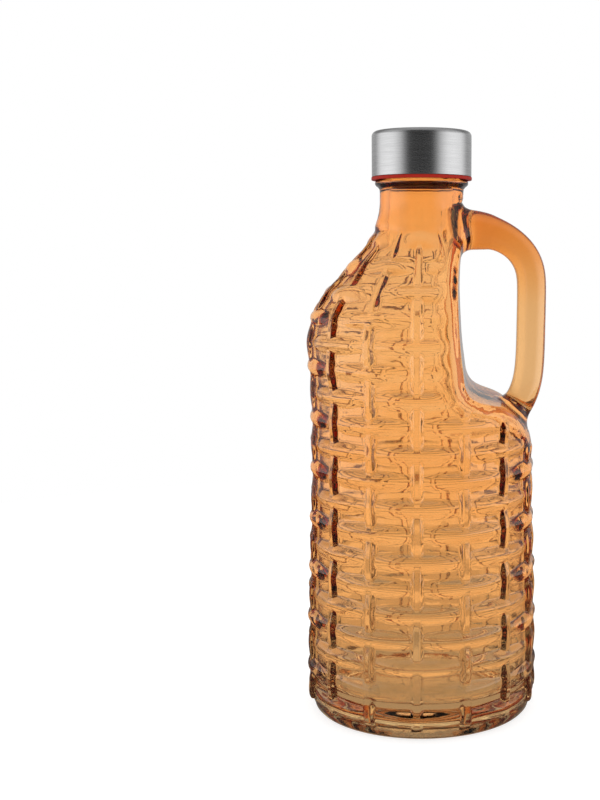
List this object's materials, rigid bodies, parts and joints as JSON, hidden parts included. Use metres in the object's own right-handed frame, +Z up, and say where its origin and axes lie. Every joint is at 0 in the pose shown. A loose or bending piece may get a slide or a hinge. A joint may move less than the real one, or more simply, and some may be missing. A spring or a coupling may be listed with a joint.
{
  "type": "glass jug bottle",
  "caption": "Tall round amber glass jug bottle with a basket-weave relief, an integral loop handle over a finger scoop, and a steel-clad screw cap for pouring liquid detergent.",
  "frame": {"origin": "on the bottle's axis in the plane of the base's bearing ring", "axes": "+Z up along the bottle's axis, +X towards the handle"},
  "size_m": [0.1055, 0.1024, 0.2512],
  "materials": {
    "amber_glass": "clear amber soda glass, fire-polished, pressed relief",
    "cap_steel": "brushed round the skirt and top",
    "cap_red": "satin moulded polypropylene",
    "liner_white": "foamed polyethylene disc"
  },
  "bodies": {
    "bottle": {"glass_bottle": "amber_glass"},
    "seal": {"sealing_liner": "liner_white"},
    "cap": {"threaded_insert": "cap_red", "steel_overcap": "cap_steel"}
  },
  "joints": [
    {"name": "cap_rise", "type": "slide", "parent": "bottle", "child": "seal", "axis": [0, 0, 1], "range_m": [0, 0.0257]},
    {"name": "cap_turn", "type": "hinge", "parent": "seal", "child": "cap", "pos_m": [0, 0, 0.2405], "axis": [0, 0, 1], "range_deg": [0, 720]}
  ],
  "couplings": [
    {"joint": "cap_rise", "follows": "cap_turn", "m_per_rad": 0.0020372}
  ]
}
